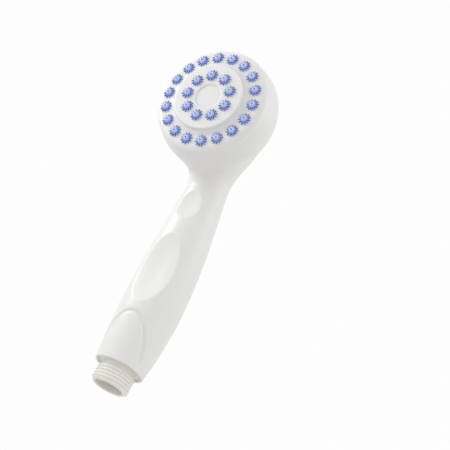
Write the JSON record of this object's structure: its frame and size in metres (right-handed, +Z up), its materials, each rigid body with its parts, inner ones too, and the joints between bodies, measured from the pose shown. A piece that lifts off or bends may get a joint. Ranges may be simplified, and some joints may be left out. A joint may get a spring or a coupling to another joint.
{
  "type": "handheld shower head",
  "caption": "Handheld shower head with a curved gripped handle, a round single-spray face with rubber nozzles that screws out, and a male threaded hose inlet.",
  "frame": {"origin": "centre of the open end of the hose inlet, on the axis of its thread", "axes": "+Z up the thread axis into the handle, -Y is the side the spray faces, +X to the right of someone facing the spray face"},
  "size_m": [0.07, 0.0846, 0.193],
  "materials": {
    "white_shell": "smooth glossy white ABS",
    "white_face": "smooth glossy white ABS",
    "white_cap": "smooth glossy white ABS",
    "white_inner": "plain moulded white ABS",
    "cream_spigot": "satin off-white ABS with a moulded thread",
    "cream_restrictor": "plain moulded acetal",
    "cream_washer": "plain moulded acetal",
    "cream_tube": "extruded and moulded off-white plastic",
    "blue_nozzles": "soft satin thermoplastic rubber",
    "black_seal": "moulded nitrile rubber",
    "steel": "stainless steel"
  },
  "bodies": {
    "handset": {"handle_shell": "white_shell", "inlet_spigot": "cream_spigot", "flow_restrictor": "cream_restrictor", "retaining_washer": "cream_washer", "water_tube": "cream_tube", "restrictor_seal": "black_seal", "tube_lower_seal": "black_seal", "tube_upper_seal_1": "black_seal", "tube_upper_seal_2": "black_seal", "inlet_strainer": "steel", "retaining_clip": "steel"},
    "sliding_seal": {"face_seal": "black_seal"},
    "spray_face": {"face_plate": "white_face", "outer_nozzle_mat": "blue_nozzles", "inner_nozzle_mat": "blue_nozzles", "distribution_plate": "white_inner", "screw_seal": "black_seal", "screw_washer": "steel", "centre_screw": "steel", "centre_cap": "white_cap"}
  },
  "joints": [
    {"name": "face_travel", "type": "slide", "parent": "handset", "child": "sliding_seal", "axis": [0, -0.9553, -0.2957], "range_m": [0, 0.0045]},
    {"name": "face_unscrew", "type": "hinge", "parent": "sliding_seal", "child": "spray_face", "pos_m": [0, -0.059, 0.1546], "axis": [0, -0.9553, -0.2957], "range_deg": [0, 540]}
  ],
  "couplings": [
    {"joint": "face_unscrew", "follows": "face_travel", "rad_per_m": 2094.4}
  ]
}
